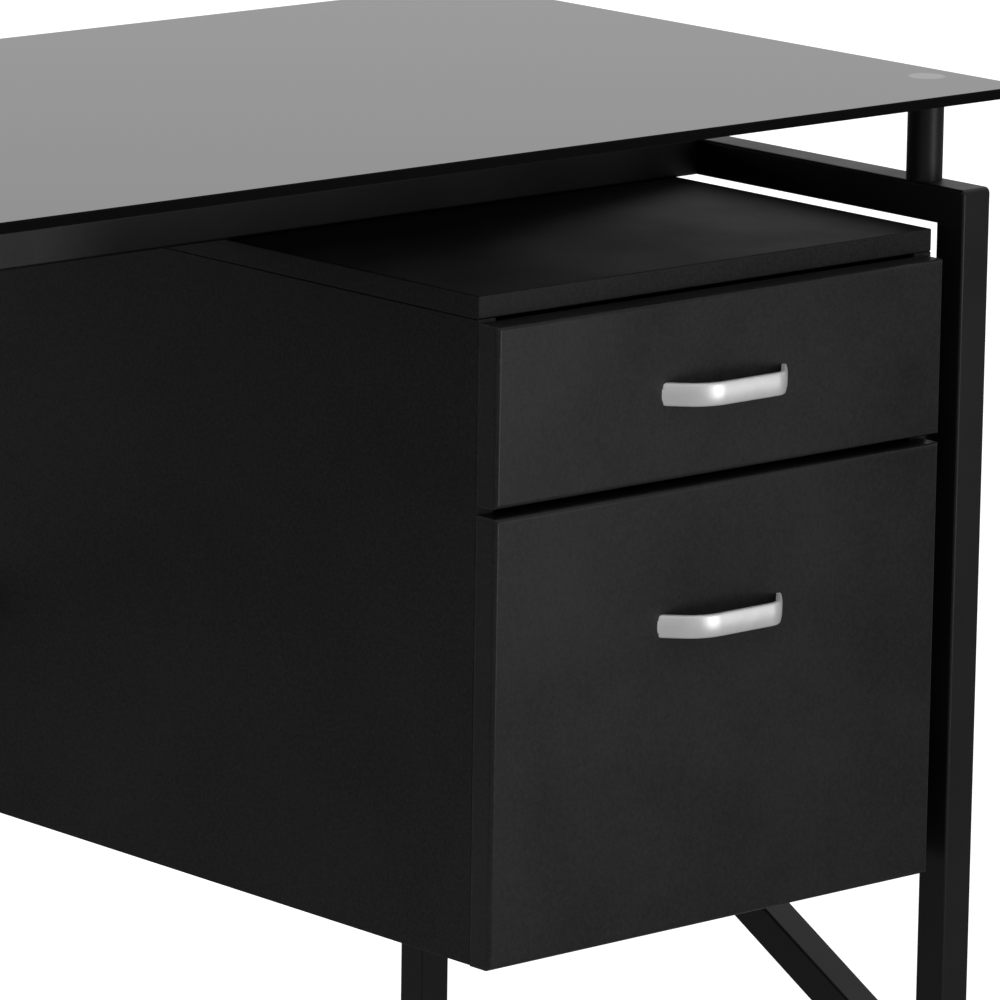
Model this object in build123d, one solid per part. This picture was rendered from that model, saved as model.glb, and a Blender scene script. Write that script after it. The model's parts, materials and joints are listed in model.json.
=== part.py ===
from build123d import *
import math
import os

# Computer desk: a black glass top on round posts, a frame of square steel tube with one
# diagonal brace in each side, a two-drawer pedestal hung under the crossbar, and a keyboard
# tray on telescopic slides. Millimetres, +Z up, the user sits on the -Y side.
# The origin is on the floor, under the centre of the whole desk.

# ---- overall ----
WIDTH = 1400.0                      # glass, left to right
GLASS_DEPTH = 550.0                 # glass, front to back
HEIGHT = 760.0                      # floor to the top of the glass
GLASS_THICKNESS = 7.0
GLASS_CORNER = 8.0                  # radius of the glass's four corners
GLASS_ARRIS = 0.8                   # ground edge round both faces of the glass

# ---- steel frame ----
TUBE = 25.0                         # side of the square tube
TUBE_WALL = 1.5
TUBE_EDGE = 2.0                     # radius of the tube's long edges
FRAME_CORNER = 4.0                  # radius where a leg turns into its top rail
MITRE_MARGIN = 5.0                  # how far a mitre's cutting prism reaches past the corner
FRAME_INSET = 26.0                  # glass end to the tube's centre line
LEG_SETBACK = 17.1                  # glass front edge to the front leg's face
FRAME_DEPTH = 552.3                 # front leg's face to the rear leg's back
RAIL_DROP = 68.1                    # glass top to the top of the rails
CROSSBAR_SETBACK = 272.5            # glass front edge to the crossbar's face
BRACE_FRONT_HEIGHT = 74.0           # floor to the brace's centre line at the front leg
BRACE_REAR_HEIGHT = 352.0           # the same at the rear leg
STRETCHER_HEIGHT = 376.0            # floor to the centre of the rear stretcher
POST_DIAMETER = 24.0
POST_WALL = 2.0
POST_SETBACKS = (66.8, 514.4)       # glass front edge to the posts' centres
BOND_DISC_DIAMETER = 20.0
BOND_DISC_THICKNESS = 2.0
BOND_DISC_SEAT = 4.0                # solid steel left under a disc at the top of a post

# ---- feet ----
FOOT_DIAMETER = 22.0
FOOT_HEIGHT = 8.0
FOOT_STUD = 4.0                     # radius of the stud
FOOT_STUD_LENGTH = 18.0
PLUG_LENGTH = 20.0
PLUG_FLANGE = 2.0
FOOT_TOTAL = FOOT_HEIGHT + PLUG_FLANGE

# ---- pedestal ----
PEDESTAL_RIGHT = 54.6               # glass right end to the pedestal's right side
PEDESTAL_WIDTH = 393.4
PEDESTAL_SETBACK = 29.5             # glass front edge to the pedestal's front edges
PEDESTAL_HEIGHT = 429.8
TOP_PANEL = 15.0
SIDE_PANEL = 15.0
BOTTOM_PANEL = 15.0
BACK_PANEL = 12.0
PANEL_EDGE = 1.0                    # radius of the edge banding's corners
DOWEL_RADIUS = 4.0
DOWEL_LENGTH = 30.0
DOWEL_INSET = 50.0                  # first and last dowel from the carcass's front and back
DOWEL_IN_SIDE = 20.0                # how much of an upright dowel is in the side panel
DOWEL_IN_END = 9.0                  # how much of a level dowel is in the side panel
FIT_GAP = 0.05                      # radial room round a dowel, screw or bolt

# ---- drawers ----
FRONT_THICKNESS = 18.0
FRONT_GAP = 0.7                     # between a closed drawer front and the carcass
FRONT_EDGE = 3.0                    # radius round the face of a drawer front
FRONT_WIDTH = 387.0
UPPER_FRONT_DROP = 110.1            # glass top to the top of the upper front
UPPER_FRONT_HEIGHT = 115.9
LOWER_FRONT_DROP = 231.8
LOWER_FRONT_HEIGHT = 291.3
BOX_PANEL = 12.0
BOX_BOTTOM = 4.0
GROOVE_DEPTH = 5.0
GROOVE_RISE = 10.0                  # lower edge of a drawer side to the bottom's groove
BOX_DEPTH = 450.0
UPPER_BOX_HEIGHT = 84.0
LOWER_BOX_HEIGHT = 215.0
UPPER_BOX_RISE = 12.0               # lower edge of the front to the lower edge of its box
LOWER_BOX_RISE = 20.0
BUMPER_RADIUS = 2.8                 # soft dots behind a drawer front
BUMPER_INSET = 18.0                 # from the front's upper and lower edges
DRAWER_TRAVEL = 450.0

# ---- telescopic slides, from the fixed side towards the moving side ----
SLIDE_WIDTH = 12.7
SLIDE_SHEET = 1.2
SLIDE_SETBACK = 2.0                 # carcass front to the front end of the slides
DRAWER_SLIDE_HEIGHT = 45.0
TRAY_SLIDE_HEIGHT = 35.0
OUTER_LIP = 9.5                     # fixed wall to the lips of the outer member
MIDDLE_WEB = 3.2                    # fixed wall to the web of the middle member
MIDDLE_LIP = 10.9
MIDDLE_DROP = 4.8                   # outer member's edge to the middle member's edge
INNER_LIP = 5.6
INNER_DROP = 10.0
DRAWER_SLIDE_SCREWS = (40.0, 220.0, 400.0)      # from the slide's front end
TRAY_SLIDE_SCREWS = (30.0, 145.0, 260.0)

# ---- handles ----
HANDLE_LENGTH = 110.0
HANDLE_REACH = 22.0                 # drawer face to the front of the bow
HANDLE_FLAT = 68.0                  # straight middle of the bow
HANDLE_STRAP = 5.0                  # thickness of the strap
HANDLE_HEIGHT = 15.0
HANDLE_BEND = 8.0                   # radius of the two bends
HANDLE_CENTRES = 100.0              # between the two screws
UPPER_HANDLE_DROP = 169.5           # glass top to the middle of the upper handle
LOWER_HANDLE_DROP = 320.0

# ---- keyboard tray ----
TRAY_WIDTH = 520.0
TRAY_DEPTH = 300.0
TRAY_BOARD = 15.0
TRAY_SETBACK = 82.0                 # glass front edge to the tray's front edge
TRAY_CENTRE = 1070.0                # glass right end to the tray's middle
TRAY_TOP_DROP = 140.0               # glass top to the board's upper face
TRAY_RAIL = 12.0
TRAY_RAIL_HEIGHT = 42.0
TRAY_FENCE_HEIGHT = 30.0
TRAY_TRAVEL = 300.0
TRAY_EDGE = 3.0                     # radius of the board's front edges
TRAY_RAIL_SETBACK = 8.0             # board's front edge to the rails and slides
TRAY_SCREW_INSET = 40.0             # board's front and back edges to the rail screws
HANGER_SHEET = 2.0
HANGER_FLANGE = 24.0
HANGER_BEND = 2.5                   # outside radius of the bend
HANGER_SCREW = 11.0                 # slide's wall to the screw into the crossbar
HANGER_LAP = 2.0                    # how far a hanger reaches below the board's upper face

# ---- angle brackets between the pedestal's right side and the right front leg ----
BRACKET_SHEET = 2.5
BRACKET_TALL = 32.0
BRACKET_ARM = 38.0
BRACKET_HEIGHTS = (522.0, 300.0)    # floor to the middle of each bracket

# ---- fasteners ----
BOLT_RADIUS = 4.0
BOLT_HEAD_RADIUS = 7.0
BOLT_HEAD = 4.0
BOLT_HEAD_ROUND = 1.6
HEX_KEY = 2.5                       # radius of the socket in a bolt's head
SCREW_RADIUS = 2.0
SCREW_HEAD_RADIUS = 3.6
SCREW_HEAD = 1.2
NUT_RADIUS = 7.5                    # across the corners, halved
NUT_HEIGHT = 6.0
HANGING_BOLT_INSET = 70.0           # pedestal's side to the bolts that hold it to the frame
INSERT_LENGTH = 25.0                # of the threaded blocks in the ends of the bars
SLIDE_SCREW_LENGTH = 11.0           # through a slide into a panel
BOX_SCREW_LENGTH = 9.0              # through a slide into a drawer side or tray rail
TAPPING_DEPTH = 8.0                 # how far a self-tapping screw goes into a tube
HOLE_END = 0.5                      # a blind hole is this much deeper than its screw

# ---- places that follow from the dimensions above ----
RIGHT = WIDTH / 2
FACE_SETBACK = PEDESTAL_SETBACK - FRONT_GAP - FRONT_THICKNESS
FRONTMOST = FACE_SETBACK - HANDLE_REACH
REARMOST = LEG_SETBACK + FRAME_DEPTH + BOLT_HEAD
GLASS_FRONT = -(FRONTMOST + REARMOST) / 2
LEG_FRONT = GLASS_FRONT + LEG_SETBACK
LEG_BACK = LEG_FRONT + FRAME_DEPTH
RAIL_TOP = HEIGHT - RAIL_DROP
RAIL_BOTTOM = RAIL_TOP - TUBE
CROSSBAR_FRONT = GLASS_FRONT + CROSSBAR_SETBACK
CROSSBAR_Y = CROSSBAR_FRONT + TUBE / 2
STRETCHER_Y = LEG_BACK - TUBE / 2
GLASS_UNDER = HEIGHT - GLASS_THICKNESS
FRAME_X = RIGHT - FRAME_INSET       # centre plane of the right-hand side frame
INNER_X = FRAME_X - TUBE / 2        # inner face of the right-hand side frame

PED_X1 = RIGHT - PEDESTAL_RIGHT
PED_X0 = PED_X1 - PEDESTAL_WIDTH
PED_Y0 = GLASS_FRONT + PEDESTAL_SETBACK
PED_Y1 = LEG_BACK - TUBE
PED_Z1 = RAIL_BOTTOM
PED_Z0 = PED_Z1 - PEDESTAL_HEIGHT
FACE_Y = GLASS_FRONT + FACE_SETBACK
FRONT_BACK_Y = FACE_Y + FRONT_THICKNESS

TRAY_X = RIGHT - TRAY_CENTRE
TRAY_Y0 = GLASS_FRONT + TRAY_SETBACK
TRAY_TOP = HEIGHT - TRAY_TOP_DROP
TRAY_SLIDE_Z = TRAY_TOP + TRAY_RAIL_HEIGHT / 2

parts = {}


def block(x0, x1, y0, y1, z0, z1):
    """A box between two corners."""
    return Pos((x0 + x1) / 2, (y0 + y1) / 2, (z0 + z1) / 2) * Box(x1 - x0, y1 - y0, z1 - z0)


def rod(start, direction, radius, length):
    """A round bar from start along +X, -X, +Y, -Y, +Z or -Z."""
    plane = Plane(origin=start, z_dir=direction)
    return plane * extrude(Circle(radius), length)


def group(solids):
    """Separate solids that share one node."""
    return Compound(children=list(solids))


def rounded_panel(x0, x1, y0, y1, z0, z1, radius):
    """A board with all its edges eased."""
    board = block(x0, x1, y0, y1, z0, z1)
    return fillet(board.edges(), radius)


def long_edges(solid, axis):
    """The edges of a solid that run along an axis."""
    return solid.edges().filter_by(axis)


# ---------------------------------------------------------------- steel frame
def straight_tube(length):
    """Square tube along +X, centred on the origin."""
    outer = fillet(long_edges(Box(length, TUBE, TUBE), Axis.X), TUBE_EDGE)
    hollow = TUBE - 2 * TUBE_WALL
    inner = fillet(long_edges(Box(length + 2, hollow, hollow), Axis.X), TUBE_EDGE - TUBE_WALL)
    return outer - inner


def tube_filler(length, axis):
    """A plug that fits inside the square tube, along +X or +Z."""
    side = TUBE - 2 * TUBE_WALL - 0.2
    size = (length, side, side) if axis == Axis.X else (side, side, length)
    return fillet(long_edges(Box(*size), axis), TUBE_EDGE - TUBE_WALL + 0.4)


def arch(offset, clearance):
    """A leg, its top rail and the other leg as one bent bar, thinned by offset all round."""
    z0 = FOOT_TOTAL - clearance
    outer = block(-TUBE / 2 + offset, TUBE / 2 - offset, LEG_FRONT + offset, LEG_BACK - offset,
                  z0, RAIL_TOP - offset)
    top_corners = outer.edges().filter_by(Axis.X).group_by(Axis.Z)[-1]
    outer = fillet(top_corners, FRAME_CORNER - offset)
    inside = block(-TUBE, TUBE, LEG_FRONT + TUBE - offset, LEG_BACK - TUBE + offset,
                   z0 - 1, RAIL_BOTTOM + offset)
    bar = outer - inside
    lengthwise = [e for e in bar.edges()
                  if abs(e.center().X) > TUBE / 2 - offset - 0.01 and e.center().Z > z0 + 0.1]
    return fillet(lengthwise, TUBE_EDGE - offset)


def arch_zone(points):
    """A prism through the frame's thickness, from points (y, z), to cut one tube off the arch."""
    outline = Polyline(*[(0, y, z) for y, z in points], close=True)
    return extrude(make_face(outline), TUBE, dir=(1, 0, 0), both=True)


def side_frame(side, x):
    """Front leg, top rail and rear leg, mitred at the corners, and the diagonal brace."""
    bar = arch(0, 0) - arch(TUBE_WALL, 5)
    front_in, back_in = LEG_FRONT + TUBE, LEG_BACK - TUBE
    front_mitre = (LEG_FRONT - MITRE_MARGIN, RAIL_TOP + MITRE_MARGIN)
    back_mitre = (LEG_BACK + MITRE_MARGIN, RAIL_TOP + MITRE_MARGIN)
    zones = {
        "front_leg": [front_mitre, (front_in, RAIL_BOTTOM), (front_in, 0), (front_mitre[0], 0)],
        "top_rail": [front_mitre, back_mitre, (back_in, RAIL_BOTTOM), (front_in, RAIL_BOTTOM)],
        "rear_leg": [back_mitre, (back_in, RAIL_BOTTOM), (back_in, 0), (back_mitre[0], 0)],
    }
    place = Pos(x, 0, 0)
    for name, points in zones.items():
        parts[f"{side}_{name}"] = place * (bar & arch_zone(points))

    run = back_in - front_in
    rise = BRACE_REAR_HEIGHT - BRACE_FRONT_HEIGHT
    angle = math.degrees(math.atan2(rise, run))
    middle = (0, (front_in + back_in) / 2, (BRACE_FRONT_HEIGHT + BRACE_REAR_HEIGHT) / 2)
    tube = Pos(*middle) * Rot(angle, 0, 0) * Rot(0, 0, 90) * straight_tube(run * 1.4)
    between_legs = block(-TUBE, TUBE, front_in, back_in, 0, HEIGHT)
    parts[f"{side}_brace"] = place * (tube & between_legs)


def bolt(start, direction, length):
    """A button-head bolt: its shank starts at start and its head stands behind it."""
    back = [-d for d in direction]
    shank = rod(start, direction, BOLT_RADIUS, length)
    head = rod(start, back, BOLT_HEAD_RADIUS, BOLT_HEAD)
    head = fillet(head.edges().sort_by(Axis(start, back))[-1:], BOLT_HEAD_ROUND)
    tip = [start[i] + back[i] * BOLT_HEAD for i in range(3)]
    socket = rod(tip, direction, HEX_KEY, BOLT_HEAD * 0.6)
    return (shank + head) - socket


def bolt_hole(start, direction, length):
    """The clearance hole of a bolt."""
    return rod(start, direction, BOLT_RADIUS + FIT_GAP, length)


def frame():
    """Both side frames, the crossbar, the rear stretcher, and what joins and closes them."""
    for side, sign in (("right", 1), ("left", -1)):
        side_frame(side, sign * FRAME_X)

    bars = {
        "crossbar": (CROSSBAR_Y, RAIL_TOP - TUBE / 2, "top_rail"),
        "rear_stretcher": (STRETCHER_Y, STRETCHER_HEIGHT, "rear_leg"),
    }
    bolts, inserts = [], []
    for name, (y, z, meets) in bars.items():
        parts[name] = Pos(0, y, z) * straight_tube(2 * INNER_X)
        for side, sign in (("right", 1), ("left", -1)):
            start = (sign * (FRAME_X + TUBE / 2), y, z)
            inward = (-sign, 0, 0)
            length = TUBE + INSERT_LENGTH - 5
            bolts.append(bolt(start, inward, length))
            parts[f"{side}_{meets}"] -= bolt_hole(start, inward, TUBE)
            centre = Pos(sign * (INNER_X - INSERT_LENGTH / 2), y, z)
            insert = centre * tube_filler(INSERT_LENGTH, Axis.X)
            inserts.append(insert - bolt_hole(start, inward, length + 1))
    parts["frame_bolts"] = group(bolts)
    parts["bar_end_inserts"] = group(inserts)

    plugs, feet = [], []
    for sign in (1, -1):
        for y in (LEG_FRONT + TUBE / 2, LEG_BACK - TUBE / 2):
            at = Pos(sign * FRAME_X, y, 0)
            flange_z = FOOT_HEIGHT + PLUG_FLANGE / 2
            flange = Pos(0, 0, flange_z) * Box(TUBE, TUBE, PLUG_FLANGE)
            flange = fillet(long_edges(flange, Axis.Z), TUBE_EDGE)
            stem = Pos(0, 0, FOOT_TOTAL + PLUG_LENGTH / 2) * tube_filler(PLUG_LENGTH, Axis.Z)
            thread = rod((0, 0, 0), (0, 0, 1), FOOT_STUD + FIT_GAP, FOOT_TOTAL + PLUG_LENGTH)
            plugs.append(at * (flange + stem - thread))
            pad = rod((0, 0, 0), (0, 0, 1), FOOT_DIAMETER / 2, FOOT_HEIGHT)
            pad = fillet(pad.edges(), 1.5)
            stud = rod((0, 0, FOOT_HEIGHT - 1), (0, 0, 1), FOOT_STUD, FOOT_STUD_LENGTH)
            feet.append(at * (pad + stud))
    parts["leg_end_plugs"] = group(plugs)
    parts["levelling_feet"] = group(feet)


def glass_and_posts():
    """The glass top, the four posts that carry it, and the discs that bond it to them."""
    glass = block(-RIGHT, RIGHT, GLASS_FRONT, GLASS_FRONT + GLASS_DEPTH, GLASS_UNDER, HEIGHT)
    glass = fillet(long_edges(glass, Axis.Z), GLASS_CORNER)
    rims = glass.faces().sort_by(Axis.Z)[0].edges() + glass.faces().sort_by(Axis.Z)[-1].edges()
    parts["glass_top"] = chamfer(rims, GLASS_ARRIS)

    posts, discs = [], []
    radius = POST_DIAMETER / 2
    for sign in (1, -1):
        for setback in POST_SETBACKS:
            x, y = sign * FRAME_X, GLASS_FRONT + setback
            post = rod((x, y, RAIL_TOP), (0, 0, 1), radius, GLASS_UNDER - RAIL_TOP)
            hollow_top = GLASS_UNDER - BOND_DISC_THICKNESS - BOND_DISC_SEAT
            post -= rod((x, y, RAIL_TOP), (0, 0, 1), radius - POST_WALL, hollow_top - RAIL_TOP)
            seat = (x, y, GLASS_UNDER - BOND_DISC_THICKNESS)
            post -= rod(seat, (0, 0, 1), BOND_DISC_DIAMETER / 2 + FIT_GAP, BOND_DISC_THICKNESS)
            posts.append(post)
            discs.append(rod(seat, (0, 0, 1), BOND_DISC_DIAMETER / 2, BOND_DISC_THICKNESS))
    parts["standoff_posts"] = group(posts)
    parts["bond_discs"] = group(discs)


# ---------------------------------------------------------------- pedestal
def pedestal():
    """The carcass, its dowels, and the bolts that hang it from the crossbar and stretcher."""
    x0, x1, y0, y1, z0, z1 = PED_X0, PED_X1, PED_Y0, PED_Y1, PED_Z0, PED_Z1
    under_top = z1 - TOP_PANEL
    floor_top = z0 + BOTTOM_PANEL
    left_in, right_in = x0 + SIDE_PANEL, x1 - SIDE_PANEL
    back_in = y1 - BACK_PANEL
    top = rounded_panel(x0, x1, y0, y1, under_top, z1, PANEL_EDGE)
    left = rounded_panel(x0, left_in, y0, y1, z0, under_top, PANEL_EDGE)
    right = rounded_panel(right_in, x1, y0, y1, z0, under_top, PANEL_EDGE)
    bottom = rounded_panel(left_in, right_in, y0, y1, z0, floor_top, PANEL_EDGE)
    back = block(left_in, right_in, back_in, y1, floor_top, under_top)

    dowels = []
    stations = [y0 + DOWEL_INSET, (y0 + y1 + DOWEL_INSET) / 2, y1 - DOWEL_INSET]
    for y in stations:
        for x in (x0 + SIDE_PANEL / 2, x1 - SIDE_PANEL / 2):
            dowels.append(((x, y, under_top - DOWEL_IN_SIDE), (0, 0, 1)))
        dowels.append(((left_in - DOWEL_IN_END, y, z0 + BOTTOM_PANEL / 2), (1, 0, 0)))
        dowels.append(((right_in + DOWEL_IN_END, y, z0 + BOTTOM_PANEL / 2), (-1, 0, 0)))
    holes = group(rod(s, d, DOWEL_RADIUS + FIT_GAP, DOWEL_LENGTH) for s, d in dowels)
    parts["carcass_dowels"] = group(rod(s, d, DOWEL_RADIUS, DOWEL_LENGTH) for s, d in dowels)

    # two bolts hang the top panel from the crossbar, with a nut under the panel
    hangers = []
    for x in (x0 + HANGING_BOLT_INSET, x1 - HANGING_BOLT_INSET):
        start = (x, CROSSBAR_Y, RAIL_TOP)
        length = TUBE + TOP_PANEL + NUT_HEIGHT + 1
        through = bolt_hole(start, (0, 0, -1), length + 1)
        parts["crossbar"] -= through
        top -= through
        hangers.append(bolt(start, (0, 0, -1), length))
        seat = Plane(origin=(x, CROSSBAR_Y, under_top - NUT_HEIGHT))
        nut = seat * extrude(RegularPolygon(NUT_RADIUS, 6), NUT_HEIGHT)
        hangers.append(nut - through)
    # two more hold the back panel against the rear stretcher
    for x in (x0 + HANGING_BOLT_INSET, x1 - HANGING_BOLT_INSET):
        start = (x, LEG_BACK, STRETCHER_HEIGHT)
        length = TUBE + BACK_PANEL - 2
        through = bolt_hole(start, (0, -1, 0), length + HOLE_END)
        parts["rear_stretcher"] -= through
        back -= through
        hangers.append(bolt(start, (0, -1, 0), length))
    parts["pedestal_bolts"] = group(hangers)

    parts["pedestal_top"] = top - holes
    parts["pedestal_left_side"] = left - holes
    parts["pedestal_right_side"] = right - holes
    parts["pedestal_bottom"] = bottom - holes
    parts["pedestal_back"] = back


# ---------------------------------------------------------------- slides
def channel(u_web, u_lip, half_height, y0, y1):
    """A C-shaped sheet channel: a web at u_web and two flanges that reach to u_lip."""
    toward = 1 if u_lip > u_web else -1
    web = block(*sorted((u_web, u_web + toward * SLIDE_SHEET)), y0, y1, -half_height, half_height)
    flanges = [block(*sorted((u_web, u_lip)), y0, y1, *sorted((s * half_height,
               s * (half_height - SLIDE_SHEET)))) for s in (1, -1)]
    bent = web + flanges[0] + flanges[1]
    corners = [e for e in bent.edges().filter_by(Axis.Y) if abs(e.center().X - u_web) < 0.01]
    return fillet(corners, SLIDE_SHEET * 0.8)


def slide_pair(fixed_left, fixed_right, y0, length, z, height):
    """Left and right telescopic slides: outer, middle and inner members, closed.

    fixed_left and fixed_right are the faces that the outer members are screwed to, and the
    moving part's sides are SLIDE_WIDTH inside them.
    """
    half = height / 2
    y1 = y0 + length
    profiles = {
        "outer": channel(0, OUTER_LIP, half, y0, y1),
        "middle": channel(MIDDLE_WEB, MIDDLE_LIP, half - MIDDLE_DROP, y0, y1),
        "inner": channel(SLIDE_WIDTH, INNER_LIP, half - INNER_DROP, y0, y1),
    }
    members = {}
    for name, shape in profiles.items():
        left = Pos(fixed_left, 0, z) * shape
        right = Pos(fixed_right, 0, z) * mirror(shape, about=Plane.YZ)
        members[name] = [left, right]
    return members


def screw(start, direction, length):
    """A flat-headed screw: its head lies on the face at start, and its shank goes into it."""
    back = [-d for d in direction]
    shank = rod(start, direction, SCREW_RADIUS, length)
    return shank + rod(start, back, SCREW_HEAD_RADIUS, SCREW_HEAD)


def screw_hole(start, direction, length):
    """The hole of a screw."""
    return rod(start, direction, SCREW_RADIUS + FIT_GAP, length)


# ---------------------------------------------------------------- drawers
def handle(x, z):
    """A bow handle: a flat strap bent into a trapezoid, its ends against the drawer face."""
    half, flat, reach = HANDLE_LENGTH / 2, HANDLE_FLAT / 2, HANDLE_REACH
    slope = math.atan2(reach - HANDLE_STRAP, half - flat)
    foot = HANDLE_STRAP / math.sin(slope)
    inset = HANDLE_STRAP * math.tan(slope / 2)
    outside = FilletPolyline((-half, 0), (-flat, -reach), (flat, -reach), (half, 0),
                             radius=HANDLE_BEND + HANDLE_STRAP)
    lift = -reach + HANDLE_STRAP
    inside = FilletPolyline((half - foot, 0), (flat - inset, lift), (-flat + inset, lift),
                            (-half + foot, 0), radius=HANDLE_BEND)
    ends = Line((half, 0), (half - foot, 0)) + Line((-half + foot, 0), (-half, 0))
    strap = extrude(make_face(outside.edges() + inside.edges() + ends.edges()), HANDLE_HEIGHT)
    return Pos(x, FACE_Y, z - HANDLE_HEIGHT / 2) * strap


def drawer(name, front_drop, front_height, box_rise, box_height, handle_drop):
    """One drawer with its overlay front, box, handle and slides, closed."""
    front_z1 = HEIGHT - front_drop
    front_z0 = front_z1 - front_height
    x0, x1 = PED_X0, PED_X0 + FRONT_WIDTH
    front = block(x0, x1, FACE_Y, FRONT_BACK_Y, front_z0, front_z1)
    face_edges = front.faces().sort_by(Axis.Y)[0].edges()
    front = fillet(face_edges, FRONT_EDGE)

    left_in, right_in = PED_X0 + SIDE_PANEL, PED_X1 - SIDE_PANEL
    bx0, bx1 = left_in + SLIDE_WIDTH, right_in - SLIDE_WIDTH
    z0 = front_z0 + box_rise
    z1 = z0 + box_height
    y0, y1 = FRONT_BACK_Y, FRONT_BACK_Y + BOX_DEPTH
    groove_z = z0 + GROOVE_RISE
    bottom = block(bx0 + BOX_PANEL - GROOVE_DEPTH, bx1 - BOX_PANEL + GROOVE_DEPTH,
                   y0 - GROOVE_DEPTH, y1 - BOX_PANEL + GROOVE_DEPTH, groove_z, groove_z + BOX_BOTTOM)
    left = block(bx0, bx0 + BOX_PANEL, y0, y1, z0, z1)
    right = block(bx1 - BOX_PANEL, bx1, y0, y1, z0, z1)
    back = block(bx0 + BOX_PANEL, bx1 - BOX_PANEL, y1 - BOX_PANEL, y1, z0, z1)

    slide_y = PED_Y0 + SLIDE_SETBACK
    slide_z = (z0 + z1) / 2
    slides = slide_pair(left_in, right_in, slide_y, BOX_DEPTH - 4, slide_z, DRAWER_SLIDE_HEIGHT)
    screws, fixed_screws = [], []
    for step in DRAWER_SLIDE_SCREWS:
        y = slide_y + step
        for side, sign in enumerate((1, -1)):
            wall = (left_in, right_in)[side] + sign * SLIDE_SHEET
            start, direction = (wall, y, slide_z), (-sign, 0, 0)
            fixed_screws.append(screw(start, direction, SLIDE_SCREW_LENGTH))
            hole = screw_hole(start, direction, SLIDE_SCREW_LENGTH + HOLE_END)
            slides["outer"][side] -= hole
            parts[("pedestal_left_side", "pedestal_right_side")[side]] -= hole
            wall = (bx0, bx1)[side] - sign * SLIDE_SHEET
            start, direction = (wall, y, slide_z), (sign, 0, 0)
            screws.append(screw(start, direction, BOX_SCREW_LENGTH))
            hole = screw_hole(start, direction, BOX_SCREW_LENGTH + HOLE_END)
            slides["inner"][side] -= hole
            if side == 0:
                left -= hole
            else:
                right -= hole

    handle_x = (x0 + x1) / 2
    handle_z = HEIGHT - handle_drop
    grip = handle(handle_x, handle_z)
    for sign in (1, -1):
        start = (handle_x + sign * HANDLE_CENTRES / 2, FRONT_BACK_Y, handle_z)
        length = FRONT_THICKNESS + HANDLE_STRAP / 2
        screws.append(screw(start, (0, -1, 0), length))
        hole = screw_hole(start, (0, -1, 0), length + HOLE_END)
        front -= hole
        grip -= hole

    bumpers = []
    for x in (PED_X0 + SIDE_PANEL / 2, x1 - BUMPER_RADIUS):
        for z in (front_z0 + BUMPER_INSET, front_z1 - BUMPER_INSET):
            bumpers.append(rod((x, FRONT_BACK_Y, z), (0, 1, 0), BUMPER_RADIUS, FRONT_GAP - FIT_GAP))

    parts[f"{name}_front"] = front - bottom
    parts[f"{name}_left_side"] = left - bottom
    parts[f"{name}_right_side"] = right - bottom
    parts[f"{name}_back"] = back - bottom
    parts[f"{name}_bottom"] = bottom
    parts[f"{name}_handle"] = grip
    parts[f"{name}_screws"] = group(screws)
    parts[f"{name}_bumpers"] = group(bumpers)
    parts[f"{name}_inner_slides"] = group(slides["inner"])
    parts[f"{name}_middle_slides"] = group(slides["middle"])
    parts[f"{name}_outer_slides"] = group(slides["outer"])
    return fixed_screws


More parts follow.
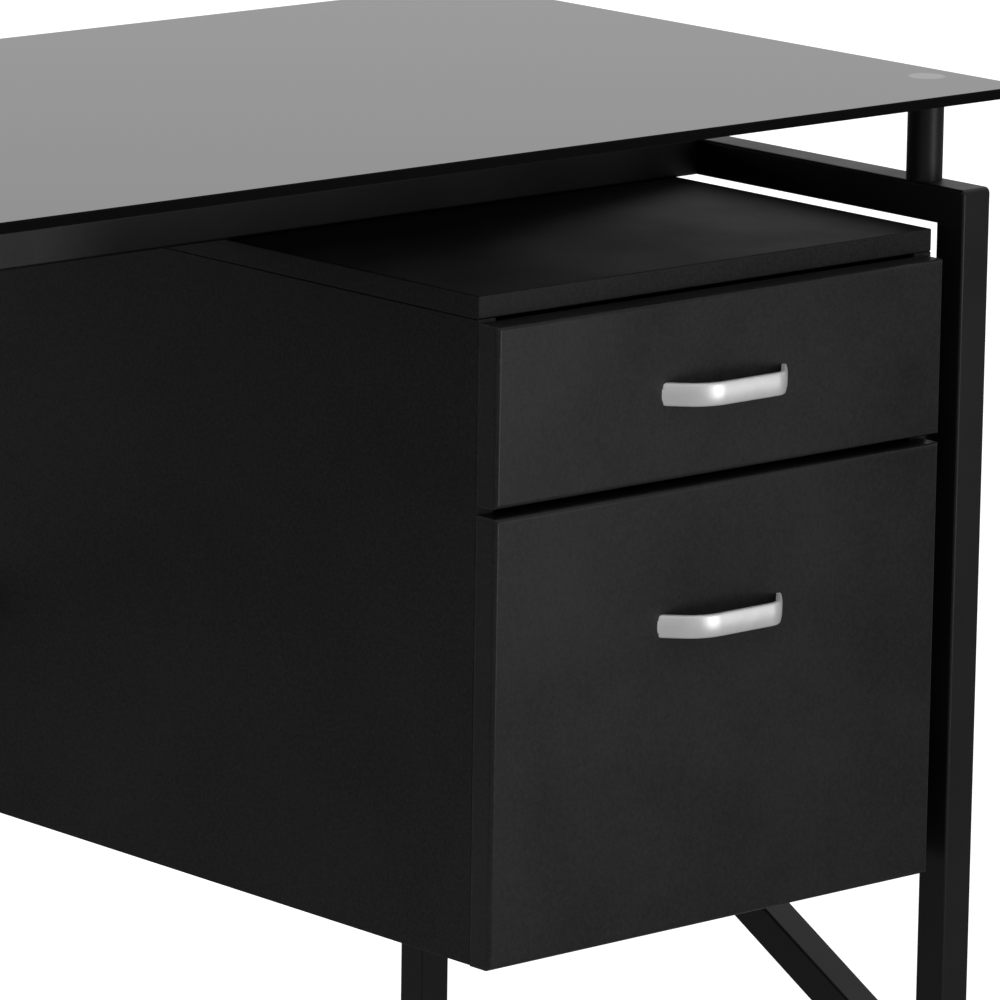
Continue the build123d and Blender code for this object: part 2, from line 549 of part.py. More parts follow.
# ---------------------------------------------------------------- keyboard tray
def keyboard_tray():
    """The tray, its slides and the two sheet hangers that hold them under the crossbar."""
    x0, x1 = TRAY_X - TRAY_WIDTH / 2, TRAY_X + TRAY_WIDTH / 2
    y0, y1 = TRAY_Y0, TRAY_Y0 + TRAY_DEPTH
    z1 = TRAY_TOP + TRAY_RAIL_HEIGHT
    board = block(x0, x1, y0, y1, TRAY_TOP - TRAY_BOARD, TRAY_TOP)
    front_edges = [e for e in board.edges() if e.center().Y < y0 + 0.1]
    board = fillet(front_edges, TRAY_EDGE)
    slide_y = y0 + TRAY_RAIL_SETBACK
    left = block(x0, x0 + TRAY_RAIL, slide_y, y1, TRAY_TOP, z1)
    right = block(x1 - TRAY_RAIL, x1, slide_y, y1, TRAY_TOP, z1)
    fence = block(x0 + TRAY_RAIL, x1 - TRAY_RAIL, y1 - TRAY_RAIL, y1, TRAY_TOP,
                  TRAY_TOP + TRAY_FENCE_HEIGHT)

    fixed_left, fixed_right = x0 - SLIDE_WIDTH, x1 + SLIDE_WIDTH
    slides = slide_pair(fixed_left, fixed_right, slide_y, y1 - slide_y, TRAY_SLIDE_Z,
                        TRAY_SLIDE_HEIGHT)
    screws, fixed = [], []
    hangers = []
    for side, sign in enumerate((1, -1)):
        face = (fixed_left, fixed_right)[side]
        plate = block(*sorted((face, face - sign * HANGER_SHEET)), slide_y, y1,
                      TRAY_TOP - HANGER_LAP, RAIL_BOTTOM)
        outer_x = face - sign * HANGER_SHEET
        flange = block(*sorted((outer_x, outer_x + sign * HANGER_FLANGE)), slide_y, y1,
                       RAIL_BOTTOM - HANGER_SHEET, RAIL_BOTTOM)
        bent = plate + flange
        corner = [e for e in bent.edges().filter_by(Axis.Y)
                  if abs(e.center().X - outer_x) < 0.01 and e.center().Z > RAIL_BOTTOM - 0.1]
        hangers.append(fillet(corner, HANGER_BEND))

    for step in TRAY_SLIDE_SCREWS:
        y = slide_y + step
        for side, sign in enumerate((1, -1)):
            wall = (fixed_left, fixed_right)[side] + sign * SLIDE_SHEET
            start, direction = (wall, y, TRAY_SLIDE_Z), (-sign, 0, 0)
            length = SLIDE_SHEET + HANGER_SHEET + 1.5
            fixed.append(screw(start, direction, length))
            hole = screw_hole(start, direction, length + HOLE_END)
            slides["outer"][side] -= hole
            hangers[side] -= hole
            wall = (x0, x1)[side] - sign * SLIDE_SHEET
            start, direction = (wall, y, TRAY_SLIDE_Z), (sign, 0, 0)
            screws.append(screw(start, direction, BOX_SCREW_LENGTH))
            hole = screw_hole(start, direction, BOX_SCREW_LENGTH + HOLE_END)
            slides["inner"][side] -= hole
            if side == 0:
                left -= hole
            else:
                right -= hole

    for x in (x0 + TRAY_RAIL / 2, x1 - TRAY_RAIL / 2):
        for y in (y0 + TRAY_SCREW_INSET, (y0 + y1) / 2, y1 - TRAY_SCREW_INSET):
            start = (x, y, TRAY_TOP - TRAY_BOARD)
            length = TRAY_BOARD + TRAY_RAIL
            screws.append(screw(start, (0, 0, 1), length))
            hole = screw_hole(start, (0, 0, 1), length + HOLE_END)
            board -= hole
            left -= hole
            right -= hole

    for side, sign in enumerate((1, -1)):
        x = (fixed_left, fixed_right)[side] + sign * HANGER_SCREW
        start = (x, CROSSBAR_Y, RAIL_BOTTOM - HANGER_SHEET)
        length = HANGER_SHEET + TAPPING_DEPTH
        fixed.append(screw(start, (0, 0, 1), length))
        hole = screw_hole(start, (0, 0, 1), length + HOLE_END)
        hangers[side] -= hole
        parts["crossbar"] -= hole

    parts["tray_board"] = board
    parts["tray_left_rail"] = left
    parts["tray_right_rail"] = right
    parts["tray_back_fence"] = fence
    parts["tray_screws"] = group(screws)
    parts["tray_inner_slides"] = group(slides["inner"])
    parts["tray_middle_slides"] = group(slides["middle"])
    parts["tray_outer_slides"] = group(slides["outer"])
    parts["tray_left_hanger"] = hangers[0]
    parts["tray_right_hanger"] = hangers[1]
    return fixed


def leg_brackets():
    """Angle brackets that steady the pedestal's right side against the right front leg."""
    leg_back = LEG_FRONT + TUBE
    panel_face = PED_X1 + BRACKET_SHEET
    brackets, screws = [], []
    for height in BRACKET_HEIGHTS:
        z0, z1 = height - BRACKET_TALL / 2, height + BRACKET_TALL / 2
        on_panel = block(PED_X1, panel_face, leg_back, leg_back + BRACKET_ARM, z0, z1)
        on_leg = block(PED_X1, PED_X1 + BRACKET_ARM, leg_back, leg_back + BRACKET_SHEET, z0, z1)
        bent = on_panel + on_leg
        bend = [e for e in long_edges(bent, Axis.Z)
                if abs(e.center().X - PED_X1) < 0.01 and abs(e.center().Y - leg_back) < 0.01]
        bracket = fillet(bend, BRACKET_SHEET * 0.8)
        into_panel = ((panel_face, leg_back + BRACKET_ARM * 0.65, height), (-1, 0, 0))
        into_leg = ((FRAME_X, leg_back + BRACKET_SHEET, height), (0, -1, 0))
        for start, direction in (into_panel, into_leg):
            length = BRACKET_SHEET + TAPPING_DEPTH
            screws.append(screw(start, direction, length))
            hole = screw_hole(start, direction, length + HOLE_END)
            bracket -= hole
            node = "pedestal_right_side" if direction[0] else "right_front_leg"
            parts[node] -= hole
        brackets.append(bracket)
    parts["leg_brackets"] = group(brackets)
    parts["bracket_screws"] = group(screws)


# ---------------------------------------------------------------- the desk
frame()
glass_and_posts()
pedestal()
leg_brackets()
slide_screws = []
slide_screws += drawer("upper", UPPER_FRONT_DROP, UPPER_FRONT_HEIGHT, UPPER_BOX_RISE,
                       UPPER_BOX_HEIGHT, UPPER_HANDLE_DROP)
slide_screws += drawer("lower", LOWER_FRONT_DROP, LOWER_FRONT_HEIGHT, LOWER_BOX_RISE,
                       LOWER_BOX_HEIGHT, LOWER_HANDLE_DROP)
slide_screws += keyboard_tray()
parts["slide_screws"] = group(slide_screws)

os.makedirs("parts", exist_ok=True)
for node, shape in parts.items():
    export_step(shape, f"parts/{node}.step")
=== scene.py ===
import bpy
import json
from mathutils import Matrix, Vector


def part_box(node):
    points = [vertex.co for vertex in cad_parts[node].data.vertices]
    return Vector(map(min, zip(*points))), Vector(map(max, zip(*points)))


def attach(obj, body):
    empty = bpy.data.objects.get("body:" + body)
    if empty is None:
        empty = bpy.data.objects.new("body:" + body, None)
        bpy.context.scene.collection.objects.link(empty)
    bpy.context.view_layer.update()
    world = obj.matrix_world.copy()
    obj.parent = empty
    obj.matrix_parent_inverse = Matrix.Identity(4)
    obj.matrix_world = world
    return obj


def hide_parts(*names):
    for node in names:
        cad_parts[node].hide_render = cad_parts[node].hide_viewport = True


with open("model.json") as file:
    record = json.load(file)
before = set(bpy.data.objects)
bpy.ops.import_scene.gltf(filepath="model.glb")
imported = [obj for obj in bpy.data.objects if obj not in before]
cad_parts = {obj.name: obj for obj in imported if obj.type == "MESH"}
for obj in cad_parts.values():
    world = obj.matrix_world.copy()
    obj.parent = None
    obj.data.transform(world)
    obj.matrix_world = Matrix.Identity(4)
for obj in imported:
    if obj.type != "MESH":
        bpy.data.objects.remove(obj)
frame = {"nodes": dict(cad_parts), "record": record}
bpy.context.view_layer.update()

import bmesh
import json
import math
from mathutils import Matrix, Vector

NODES = frame["nodes"]

# ---------------------------------------------------------------- camera
# Seen from the front left, a little above the glass, with a long lens.
LENS = 274.24
CAMERA_PLACE = Vector((-2.8131, -3.7290, 1.5468))
CAMERA_ELEVATION = 12.277
CAMERA_AZIMUTH = -41.581
CAMERA_ROLL = 0.868


def make_camera():
    """A camera without shift or depth of field, at the photograph's angle."""
    data = bpy.data.cameras.new("camera")
    data.sensor_width = 36
    data.lens = LENS
    data.clip_start = 0.1
    data.clip_end = 100
    camera = bpy.data.objects.new("camera", data)
    bpy.context.scene.collection.objects.link(camera)
    azimuth, elevation = math.radians(CAMERA_AZIMUTH), math.radians(CAMERA_ELEVATION)
    back = Vector((math.sin(azimuth) * math.cos(elevation),
                   -math.cos(azimuth) * math.cos(elevation), math.sin(elevation)))
    aim = (-back).to_track_quat("-Z", "Y").to_matrix().to_4x4()
    roll = Matrix.Rotation(math.radians(CAMERA_ROLL), 4, "Z")
    camera.matrix_world = Matrix.Translation(CAMERA_PLACE) @ aim @ roll
    bpy.context.scene.camera = camera


# ---------------------------------------------------------------- node helper
class Graph:
    """A node tree with one short call for each node."""

    def __init__(self, tree):
        self.tree = tree

    def plug(self, socket, value):
        if isinstance(value, bpy.types.NodeSocket):
            self.tree.links.new(value, socket)
        elif hasattr(socket.default_value, "__len__") and not hasattr(value, "__len__"):
            socket.default_value = [value] * len(socket.default_value)
        elif hasattr(value, "__len__") and len(value) == 3 and len(socket.default_value) == 4:
            socket.default_value = (*value, 1)
        else:
            socket.default_value = value

    def node(self, kind, inputs=(), **settings):
        made = self.tree.nodes.new("ShaderNode" + kind)
        for name, value in settings.items():
            setattr(made, name, value)
        for key, value in dict(inputs).items():
            self.plug(made.inputs[key], value)
        return made

    def math(self, operation, a, b=0.0):
        return self.node("Math", {0: a, 1: b}, operation=operation).outputs[0]

    def axes(self, vector):
        """The x, y and z of a vector."""
        return self.node("SeparateXYZ", {0: vector}).outputs

    def dot(self, a, b):
        made = self.node("VectorMath", {0: a, 1: b}, operation="DOT_PRODUCT")
        return made.outputs["Value"]

    def remap(self, value, low, high, to_low, to_high):
        made = self.node("MapRange", {"Value": value, "From Min": low, "From Max": high,
                                      "To Min": to_low, "To Max": to_high},
                         interpolation_type="SMOOTHSTEP")
        return made.outputs[0]

    def mix(self, factor, a, b):
        made = self.node("Mix", data_type="RGBA")
        self.plug(made.inputs[0], factor)
        self.plug(made.inputs[6], a)
        self.plug(made.inputs[7], b)
        return made.outputs[2]

    def blend(self, factor, a, b):
        """A number between a and b."""
        made = self.node("Mix", data_type="FLOAT")
        self.plug(made.inputs[0], factor)
        self.plug(made.inputs[2], a)
        self.plug(made.inputs[3], b)
        return made.outputs[0]

    def noise(self, place, scale, detail=2.0, roughness=0.5):
        made = self.node("TexNoise", {"Vector": place, "Scale": scale, "Detail": detail,
                                      "Roughness": roughness})
        return made.outputs[0]

    def stretched(self, place, scale):
        made = self.node("VectorMath", {0: place, 1: scale}, operation="MULTIPLY")
        return made.outputs["Vector"]


def material(name, base, roughness, metallic=0.0, specular=0.5):
    """A material with a Principled shader; returns it, its graph, shader and object place."""
    made = bpy.data.materials.new(name)
    made.use_nodes = True
    graph = Graph(made.node_tree)
    shader = made.node_tree.nodes["Principled BSDF"]
    shader.inputs["Base Color"].default_value = (*base, 1)
    shader.inputs["Roughness"].default_value = roughness
    shader.inputs["Metallic"].default_value = metallic
    shader.inputs["Specular IOR Level"].default_value = specular
    place = graph.node("TexCoord").outputs["Object"]
    return made, graph, shader, place


def bump(graph, shader, height, distance):
    """Feeds a height in 0..1 to the shader's normal; distance is its depth in metres."""
    made = graph.node("Bump", {"Strength": 1.0, "Distance": distance, "Height": height})
    graph.plug(shader.inputs["Normal"], made.outputs[0])


# This edge mask drives rubbed wear on the powder coat. On the laminates and the satin silver it drives
# both wear and a painted highlight.
def edge_wear_and_highlight_mask(graph, radius, low=0.80, high=0.985):
    """1 along sharp edges and 0 elsewhere, where a rounded normal leaves the true one."""
    soft = graph.node("Bevel", {"Radius": radius}, samples=4).outputs[0]
    true = graph.node("NewGeometry").outputs["Normal"]
    return graph.remap(graph.dot(soft, true), low, high, 1, 0)


def tint(graph, shader, base, low, high, value):
    """Colour between low and high times the base colour, by a value in 0..1."""
    dark = [c * low for c in base]
    light = [c * high for c in base]
    colour = graph.mix(value, dark, light)
    graph.plug(shader.inputs["Base Color"], colour)
    return colour


# ---------------------------------------------------------------- materials
GLASS_BASE = (0.0035, 0.0035, 0.004)
WINDOW_BASE = (0.20, 0.20, 0.20)
WINDOW_RADIUS = 12.4 / 1000
WINDOW_FADE = (1.2 / 1000, 0.6 / 1000)   # soft edge of the window, inwards and outwards
POST_RADIUS = 12.0 / 1000
EDGE_BASE = (0.0015, 0.0017, 0.0016)
EDGE_SHEEN = (0.12, 0.12, 0.12)      # how much of the gloss is left on the ground edge
FRAME_BASE = (0.0068, 0.0068, 0.0070)
FRONT_BASE = (0.015, 0.015, 0.0152)
CARCASS_BASE = (0.0150, 0.0150, 0.0153)


def black_glass():
    """Black-backed glass; a clear window in the backing shows each post's pale disc."""
    made, g, shader, place = material("black_glass", GLASS_BASE, 0.03, specular=0.52)
    shader.distribution = "GGX"
    low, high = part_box("standoff_posts")
    x, y, z = g.axes(place)
    dx = g.math("SUBTRACT", g.math("ABSOLUTE", x), high.x - POST_RADIUS)
    window = None
    for y0 in (low.y + POST_RADIUS, high.y - POST_RADIUS):
        dy = g.math("SUBTRACT", y, y0)
        squares = g.math("ADD", g.math("MULTIPLY", dx, dx), g.math("MULTIPLY", dy, dy))
        away = g.math("SQRT", squares)
        inside = g.remap(away, WINDOW_RADIUS - WINDOW_FADE[0], WINDOW_RADIUS + WINDOW_FADE[1], 1, 0)
        window = inside if window is None else g.math("MAXIMUM", window, inside)
    grain = g.noise(g.stretched(place, (900, 90, 90)), 1.0, 2)
    disc = g.mix(grain, [c * 0.8 for c in WINDOW_BASE], [c * 1.2 for c in WINDOW_BASE])
    up = g.axes(g.node("NewGeometry").outputs["Normal"])[2]
    face = g.remap(g.math("ABSOLUTE", up), 0.85, 0.97, 0, 1)
    ground = g.mix(g.noise(place, 700, 3), EDGE_BASE, [c * 2.5 for c in EDGE_BASE])
    g.plug(shader.inputs["Base Color"], g.mix(face, ground, g.mix(window, GLASS_BASE, disc)))
    g.plug(shader.inputs["Specular Tint"], g.mix(face, EDGE_SHEEN, (1.0, 1.0, 1.0)))
    smear = g.noise(place, 5.0, 5, 0.6)
    polished = g.remap(smear, 0.35, 0.75, 0.02, 0.05)
    g.plug(shader.inputs["Roughness"], g.blend(face, 1.0, polished))
    return made


def powder_coat():
    """Satin black powder coat: fine orange peel, slightly uneven gloss."""
    made, g, shader, place = material("powder_coat", FRAME_BASE, 0.42, specular=0.22)
    peel = g.noise(place, 620, 3, 0.55)
    specks = g.noise(place, 2400, 1)
    bump(g, shader, g.math("ADD", peel, g.math("MULTIPLY", specks, 0.35)), 0.00006)
    cloud = g.noise(place, 9, 4, 0.6)
    g.plug(shader.inputs["Roughness"], g.remap(cloud, 0.3, 0.7, 0.38, 0.47))
    colour = tint(g, shader, FRAME_BASE, 0.75, 1.3, g.noise(place, 130, 3))
    edge_patches = g.remap(g.noise(place, 55, 4, 0.7), 0.4, 0.7, 0.2, 1)
    edges = g.math("MULTIPLY", edge_wear_and_highlight_mask(g, 0.0012), edge_patches)
    g.plug(shader.inputs["Base Color"], g.mix(edges, colour, [c * 3.0 for c in FRAME_BASE]))
    return made


def laminate(name, base, depth, specular, roughness, edge_width):
    """Black board facing: fine woven grain, pale specks, a cloudy tone, and lighter edges that are
    partly rubbed wear and partly a painted highlight.
    """
    made, g, shader, place = material(name, base, roughness, specular=specular)
    across = g.noise(g.stretched(place, (300, 300, 1500)), 1.0, 3, 0.65)
    along = g.noise(g.stretched(place, (1500, 1500, 300)), 1.0, 3, 0.65)
    weave = g.math("MULTIPLY", g.math("ADD", across, along), 0.5)
    mottle = g.noise(place, 420, 4, 0.7)
    specks = g.remap(g.noise(place, 900, 2, 0.7), 0.60, 0.74, 0, 1)
    bump(g, shader, g.math("ADD", weave, g.math("MULTIPLY", specks, 0.4)), depth)
    cloud = g.noise(place, 7, 4, 0.6)
    tone = g.math("ADD", g.math("MULTIPLY", weave, 0.45), g.math("MULTIPLY", mottle, 0.35))
    toned = g.remap(g.math("ADD", tone, g.math("MULTIPLY", cloud, 0.2)), 0.38, 0.62, 0, 1)
    colour = tint(g, shader, base, 0.5, 1.5, toned)
    specked = g.mix(g.math("MULTIPLY", specks, 0.5), colour, [c * 2.4 for c in base])
    # Lighter edges: partly rubbed wear, partly a painted highlight standing in for the light the edges
    # catch.
    edge_patches = g.remap(g.noise(place, 40, 5, 0.7), 0.35, 0.65, 0.35, 1)
    edges = g.math("MULTIPLY", edge_wear_and_highlight_mask(g, edge_width), edge_patches)
    g.plug(shader.inputs["Base Color"], g.mix(edges, specked, [c * 2.8 for c in base]))
    g.plug(shader.inputs["Roughness"], g.remap(cloud, 0.3, 0.7, roughness - 0.05, roughness + 0.05))
    return made


def satin_silver():
    """Satin silver lacquer on metal: a very fine brushed grain, a faint cloud, and edges painted near
    white and less metallic, which is a painted highlight along the long edges with some rubbed wear.
    """
    base = (0.76, 0.76, 0.76)
    made, g, shader, place = material("satin_silver", base, 0.43, metallic=0.5)
    brush = g.noise(g.stretched(place, (240, 900, 5200)), 1.0, 2)
    bump(g, shader, brush, 0.000004)
    cloud = g.noise(place, 120, 4, 0.6)
    g.plug(shader.inputs["Roughness"], g.remap(cloud, 0.3, 0.7, 0.42, 0.48))
    clouded = tint(g, shader, base, 0.95, 1.04, cloud)
    # Painted highlight along the strap's edges, partly rubbed wear: near white and less metallic there.
    edges = edge_wear_and_highlight_mask(g, 0.0012, 0.90)
    g.plug(shader.inputs["Base Color"], g.mix(edges, clouded, (1.0, 1.0, 1.0)))
    g.plug(shader.inputs["Metallic"], g.blend(edges, 0.5, 0.15))
    return made


def zinc(name, base, roughness):
    """Zinc-plated steel with a cloudy, faintly warm passivation."""
    made, g, shader, place = material(name, base, roughness, metallic=1.0)
    cloud = g.noise(place, 45, 5, 0.65)
    warm = [base[0] * 1.04, base[1] * 1.0, base[2] * 0.88]
    g.plug(shader.inputs["Base Color"], g.mix(g.remap(cloud, 0.35, 0.7, 0, 1), base, warm))
    roll = g.noise(g.stretched(place, (1800, 40, 1800)), 1.0, 2)
    bump(g, shader, roll, 0.00001)
    g.plug(shader.inputs["Roughness"], g.remap(cloud, 0.3, 0.7, roughness - 0.06, roughness + 0.08))
    return made


def black_oxide():
    made, g, shader, place = material("black_oxide", (0.02, 0.02, 0.021), 0.38, metallic=0.6)
    spot = g.noise(place, 300, 3)
    g.plug(shader.inputs["Roughness"], g.remap(spot, 0.3, 0.7, 0.3, 0.48))
    tint(g, shader, (0.02, 0.02, 0.021), 0.7, 1.4, spot)
    return made


def moulded_plastic():
    made, g, shader, place = material("moulded_plastic", (0.012, 0.012, 0.012), 0.5)
    grain = g.noise(place, 1800, 2)
    bump(g, shader, grain, 0.00004)
    tint(g, shader, (0.012, 0.012, 0.012), 0.8, 1.3, g.noise(place, 60, 3))
    return made


def soft_dots():
    made, g, shader, place = material("soft_dots", (0.55, 0.55, 0.52), 0.35)
    tint(g, shader, (0.55, 0.55, 0.52), 0.85, 1.1, g.noise(place, 700, 2))
    return made


def beech():
    made, g, shader, place = material("beech", (0.60, 0.42, 0.25), 0.6)
    rings = g.noise(g.stretched(place, (700, 700, 90)), 1.0, 4)
    tint(g, shader, (0.60, 0.42, 0.25), 0.7, 1.15, rings)
    bump(g, shader, rings, 0.00008)
    return made


def printed_foil(name, base):
    """Dark foil with a faint printed wood grain along the board."""
    made, g, shader, place = material(name, base, 0.5, specular=0.3)
    grain = g.noise(g.stretched(place, (520, 14, 520)), 1.0, 5, 0.65)
    pores = g.remap(g.noise(g.stretched(place, (1500, 60, 1500)), 1.0, 2), 0.6, 0.72, 0, 1)
    tint(g, shader, base, 0.6, 1.35, g.math("SUBTRACT", grain, g.math("MULTIPLY", pores, 0.3)))
    bump(g, shader, pores, 0.00005)
    return made


def dress_nodes():
    """Gives every CAD node its material by the record's slot."""
    looks = {
        "glass": black_glass(),
        "frame_coat": powder_coat(),
        "carcass_laminate": laminate("carcass_laminate", CARCASS_BASE, 0.00005, 0.12, 0.5, 0.0012),
        "front_laminate": laminate("front_laminate", FRONT_BASE, 0.00006, 0.2, 0.37, 0.003),
        "handle_metal": satin_silver(),
        "slide_steel": zinc("slide_steel", (0.56, 0.57, 0.58), 0.32),
        "zinc_steel": zinc("zinc_steel", (0.62, 0.62, 0.60), 0.28),
        "disc_steel": zinc("disc_steel", (0.60, 0.60, 0.60), 0.3),
        "black_fastener": black_oxide(),
        "plastic": moulded_plastic(),
        "clear_rubber": soft_dots(),
        "dowel_wood": beech(),
        "box_foil": printed_foil("box_foil", (0.03, 0.03, 0.031)),
        "hardboard": printed_foil("hardboard", (0.04, 0.037, 0.034)),
    }
    slots = {s["node"]: s["material_slot"] for s in frame["record"]["subparts"]}
    for name, piece in NODES.items():
        piece.data.materials.clear()
        piece.data.materials.append(looks[slots[name]])
    return looks


# ---------------------------------------------------------------- mesh helpers
ARC_STEPS = 14


def finish_piece(name, mesh_data, look, body):
    """Turns a bmesh into a smooth piece with a material that rides on a body."""
    mesh = bpy.data.meshes.new(name)
    bmesh.ops.recalc_face_normals(mesh_data, faces=mesh_data.faces[:])
    for face in mesh_data.faces:
        face.smooth = True
    mesh_data.to_mesh(mesh)
    mesh_data.free()
    piece = bpy.data.objects.new(name, mesh)
    bpy.context.scene.collection.objects.link(piece)
    mesh.materials.append(look)
    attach(piece, body)
    return piece


def add_loft(made, rings):
    """Adds a closed skin over rings of points, each ring with the same number of points."""
    rows = [[made.verts.new(p) for p in ring] for ring in rings]
    count = len(rows[0])
    for near, far in zip(rows, rows[1:]):
        for i in range(count):
            j = (i + 1) % count
            made.faces.new((near[i], near[j], far[j], far[i]))
    made.faces.new(rows[0])
    made.faces.new(rows[-1])


def rounded_path(corners, radii):
    """Points (x, y) along straight runs joined by arcs of the given radii."""
    points = [Vector(corners[0])]
    for before, corner, after, radius in zip(corners, corners[1:], corners[2:], radii):
        here = Vector(corner)
        back = (Vector(before) - here).normalized()
        on = (Vector(after) - here).normalized()
        half = math.acos(max(-1, min(1, back.dot(on)))) / 2
        reach = radius / math.tan(half)
        centre = here + (back + on).normalized() * radius / math.sin(half)
        start, end = here + back * reach - centre, here + on * reach - centre
        turn = start.angle_signed(end)
        for k in range(ARC_STEPS + 1):
            spin = Matrix.Rotation(-turn * k / ARC_STEPS, 2)
            points.append(centre + spin @ start)
    points.append(Vector(corners[-1]))
    return points


# ---------------------------------------------------------------- handles
HANDLE_SLANT = 20.0 / 1000           # drawer face to the bend, along the drawer
HANDLE_CROWN = 1.3 / 1000            # how far the strap's middle stands out
HANDLE_THICKNESS = 3.0 / 1000
HANDLE_ROUND = 0.9 / 1000            # rounding of the strap's long edges
HANDLE_END_DEPTH = 0.7 / 1000        # length of the rounding at the ends
HANDLE_END_WIDTH = 0.88              # share of the height that a rounded end keeps
HANDLE_BENDS = (34.0 / 1000, 15.0 / 1000)
HANDLE_STEP = 0.9 / 1000             # longest facet along the strap
HANDLE_FACETS = 18                   # across each face of the strap


def handle_section(half_height):
    """The strap's outline as (outward, up): crowned in front, flat behind, long edges rounded."""
    outline = []
    for side in (1, -1):
        for k in range(HANDLE_FACETS + 1):
            turn = side * (-1 + 2 * k / HANDLE_FACETS)
            up = math.sin(turn * math.pi / 2) * half_height
            inside = max(0.0, abs(up) - half_height + HANDLE_ROUND)
            drop = HANDLE_ROUND - math.sqrt(max(0.0, HANDLE_ROUND ** 2 - inside ** 2))
            if side == 1:
                outline.append((HANDLE_CROWN * (1 - (up / half_height) ** 2) - drop, up))
            else:
                outline.append((drop * 0.5 - HANDLE_THICKNESS, up))
    return outline


def make_handle(name, look, body, node):
    """A bow handle: a crowned strap bent twice, with rounded ends flush on the drawer's face."""
    low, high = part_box(node)
    half_height = (high.z - low.z) / 2
    middle = (high.z + low.z) / 2
    front = low.y + HANDLE_CROWN
    reach = high.y - front
    run = math.hypot(reach, HANDLE_SLANT)
    left = low.x + HANDLE_CROWN * run / reach
    right = high.x - HANDLE_CROWN * run / reach
    over = Vector((HANDLE_SLANT, -reach)) * HANDLE_THICKNESS * 2 / run
    corners = [(left - over.x, high.y - over.y), (left + HANDLE_SLANT, front),
               (right - HANDLE_SLANT, front), (right + over.x, high.y - over.y)]
    path = rounded_path(corners, HANDLE_BENDS)
    fine = []
    for a, b in zip(path, path[1:]):
        cuts = max(1, round((b - a).length / HANDLE_STEP))
        fine += [a.lerp(b, k / cuts) for k in range(cuts)]
    fine.append(path[-1])
    rings = []
    for i, here in enumerate(fine):
        before, after = fine[max(i - 1, 0)], fine[min(i + 1, len(fine) - 1)]
        along = (after - before).normalized()
        out = Vector((along.y, -along.x))
        from_end = min(here.x - left, right - here.x) * run / HANDLE_SLANT
        gap = min(1.0, max(0.0, 1 - from_end / HANDLE_END_DEPTH))
        bow = HANDLE_END_WIDTH + (1 - HANDLE_END_WIDTH) * math.sqrt(1 - gap ** 2)
        half = half_height * bow
        rings.append([(here.x + out.x * away, here.y + out.y * away, middle + up)
                      for away, up in handle_section(half)])
    made = bmesh.new()
    add_loft(made, rings)
    geometry = made.verts[:] + made.edges[:] + made.faces[:]
    cut = bmesh.ops.bisect_plane(made, geom=geometry, plane_co=(0, high.y - 0.00005, 0),
                                 plane_no=(0, 1, 0), clear_outer=True)
    edges = [e for e in cut["geom_cut"] if isinstance(e, bmesh.types.BMEdge)]
    bmesh.ops.holes_fill(made, edges=edges)
    piece = finish_piece(name, made, look, body)
    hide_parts(node)
    return piece


# ---------------------------------------------------------------- welds and ball cages
WELD_RADIUS = 1.5 / 1000
WELD_RIPPLE = 0.25 / 1000
WELD_PITCH = 1.6 / 1000              # from one ripple to the next
WELD_INSET = 1.0 / 1000              # bead end to the side of the tube
WELD_OUT = 0.4                       # how far a bead stands off the leg, in its own radii
WELD_ENDS = (6, 0.3)                 # how fast a bead tapers, and how thin its ends are
CAGE_LENGTH = 80.0 / 1000
CAGE_SHEET = 0.5 / 1000
CAGE_END_GAP = 14.0 / 1000           # cage to the end of the middle slide
CAGE_BALLS = 7
BALL_RINGS = 8
ROUND = [math.tau * i / 12 for i in range(12)]
# For the rows on the fixed slide and on the drawer's slide: how far below the slide's upper
# edge, ball radius, and from the wall the balls' middle and the sheet's two edges.
REAR_ROW = [d / 1000 for d in (3.0, 1.6, 7.0, 2.2, 9.0)]
FRONT_ROW = [d / 1000 for d in (8.0, 1.8, 8.2, 6.2, 11.0)]


def make_welds(name, look, body, node):
    """Rippled beads above and below both ends of a sloping bar, where it meets the legs."""
    low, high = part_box(node)
    points = [v.co for v in NODES[node].data.vertices]
    made = bmesh.new()
    for end, inward in ((low.y, 1), (high.y, -1)):
        heights = [p.z for p in points if abs(p.y - end) < WELD_RADIUS]
        for z in (min(heights), max(heights)):
            count = round((high.x - low.x - 2 * WELD_INSET) / (WELD_PITCH / 4))
            rings = []
            for k in range(count + 1):
                share = k / count
                taper = min(1.0, WELD_ENDS[0] * min(share, 1 - share) + WELD_ENDS[1])
                size = (WELD_RADIUS + WELD_RIPPLE * math.cos(k * math.pi / 2)) * taper
                x = low.x + WELD_INSET + share * (high.x - low.x - 2 * WELD_INSET)
                y = end + inward * size * WELD_OUT
                rings.append([(x, y + size * math.cos(turn), z + size * math.sin(turn))
                              for turn in ROUND])
            add_loft(made, rings)
    return finish_piece(name, made, look, body)


def add_ball(made, centre, radius):
    """A steel ball, as stacked rings closed at both poles."""
    rings = []
    for i in range(1, BALL_RINGS):
        lean = math.pi * i / BALL_RINGS
        across, up = radius * math.sin(lean), radius * math.cos(lean)
        rings.append([centre + Vector((across * math.cos(turn), across * math.sin(turn), up))
                      for turn in ROUND])
    add_loft(made, rings)


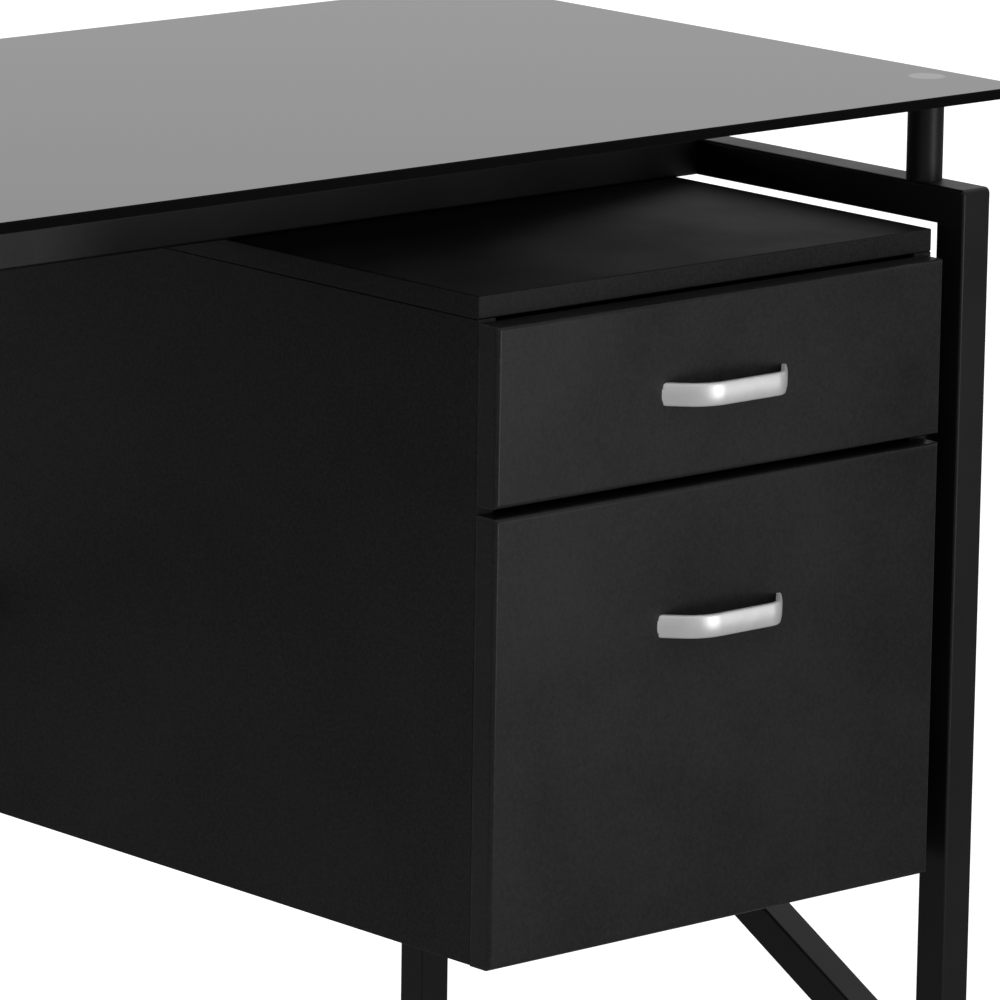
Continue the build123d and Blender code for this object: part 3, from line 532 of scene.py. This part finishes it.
def make_cages(name, look, body, key):
    """Ball cages of one pair of slides: one set behind, against the fixed slide, one in front."""
    low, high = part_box(f"{key}_outer_slides")
    near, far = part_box(f"{key}_middle_slides")
    centre = (low.z + high.z) / 2
    half = (high.z - low.z) / 2
    rear = far.y - CAGE_END_GAP - CAGE_LENGTH
    front = near.y + CAGE_END_GAP
    lift = CAGE_SHEET / 2
    made = bmesh.new()
    for wall, inward in ((low.x, 1), (high.x, -1)):
        for start, (drop, radius, across, sheet_from, sheet_to) in ((rear, REAR_ROW),
                                                                    (front, FRONT_ROW)):
            for up in (1, -1):
                z = centre + up * (half - drop)
                outline = ((sheet_from, -lift), (sheet_to, -lift), (sheet_to, lift), (sheet_from, lift))
                add_loft(made, [[(wall + inward * u, y, z + rise) for u, rise in outline]
                                for y in (start, start + CAGE_LENGTH)])
                for k in range(CAGE_BALLS):
                    y = start + CAGE_LENGTH * (k + 0.5) / CAGE_BALLS
                    add_ball(made, Vector((wall + inward * across, y, z)), radius)
    return finish_piece(name, made, look, body)


# ---------------------------------------------------------------- stage and light
ROOM_LEFT = 0.38
ROOM_RIGHT = 0.27
ROOM_LOW = 0.27
ROOM_BACK = 0.74
ROOM_OVERHEAD = 0.85
FLOOR_GLOW = 0.75
FLOOR_HALF = 40
KEY_WATTS = 12
KEY_PLACE = (0.98, -1.8, 0.57)
KEY_AIM = (0.5, -0.27, 0.48)
KEY_SIZE = (0.35, 1.0)


def make_floor():
    """A pale floor that glows a little, as a light table does, and stays out of reflections."""
    mesh = bpy.data.meshes.new("floor")
    half = FLOOR_HALF
    corners = [(-half, -half, 0), (half, -half, 0), (half, half, 0), (-half, half, 0)]
    mesh.from_pydata(corners, [], [(0, 1, 2, 3)])
    floor = bpy.data.objects.new("floor", mesh)
    bpy.context.scene.collection.objects.link(floor)
    made, g, shader, place = material("floor", (0.6, 0.6, 0.6), 0.9, specular=0.0)
    shader.inputs["Emission Color"].default_value = (1, 1, 1, 1)
    shader.inputs["Emission Strength"].default_value = FLOOR_GLOW
    mesh.materials.append(made)
    floor.visible_glossy = False
    floor.visible_diffuse = False


def make_world():
    """A white room: full light overhead and behind the desk, less in front and to the left."""
    world = bpy.data.worlds.new("studio")
    bpy.context.scene.world = world
    world.use_nodes = True
    g = Graph(world.node_tree)
    background = world.node_tree.nodes["Background"]
    x, y, z = g.axes(g.node("TexCoord").outputs["Generated"])
    front = g.remap(x, -0.7, 0.7, ROOM_LEFT, ROOM_RIGHT)
    above = g.remap(z, -0.15, 0.5, 1.0, 1.7)
    below = g.remap(z, -0.65, -0.25, 1.4, 1.0)
    front = g.math("MULTIPLY", front, g.math("MULTIPLY", above, below))
    ahead = g.remap(y, -0.5, 0.3, 0, 1)
    back = g.remap(z, -0.06, 0.14, ROOM_LOW, ROOM_BACK)
    level = g.blend(ahead, front, back)
    overhead = g.remap(z, 0.35, 0.8, 0, 1)
    level = g.blend(overhead, level, ROOM_OVERHEAD)
    seen = g.node("LightPath").outputs["Is Camera Ray"]
    level = g.blend(seen, level, 1.0)
    background.inputs["Color"].default_value = (1, 1, 1, 1)
    g.plug(background.inputs["Strength"], level)


def make_softbox():
    """One softbox in front, a little to the right of the pedestal, seen only in reflections."""
    data = bpy.data.lights.new("key_softbox", "AREA")
    data.shape = "RECTANGLE"
    data.size, data.size_y = KEY_SIZE
    data.energy = KEY_WATTS
    lamp = bpy.data.objects.new("key_softbox", data)
    bpy.context.scene.collection.objects.link(lamp)
    lamp.visible_camera = False
    lamp.visible_diffuse = False
    way = Vector(KEY_AIM) - Vector(KEY_PLACE)
    turn = way.to_track_quat("-Z", "Y").to_matrix().to_4x4()
    lamp.matrix_world = Matrix.Translation(KEY_PLACE) @ turn


bpy.context.scene.view_settings.view_transform = "Standard"
make_camera()
make_floor()
make_world()
make_softbox()
looks = dress_nodes()
for drawer in ("upper", "lower"):
    make_handle(f"{drawer}_bow_handle", looks["handle_metal"], f"{drawer}_drawer", f"{drawer}_handle")
for side in ("right", "left"):
    make_welds(f"{side}_brace_welds", looks["frame_coat"], "root", f"{side}_brace")
for key in ("upper", "lower", "tray"):
    make_cages(f"{key}_ball_cages", looks["slide_steel"], f"{key}_slide_middles", key)

bpy.context.view_layer.update()
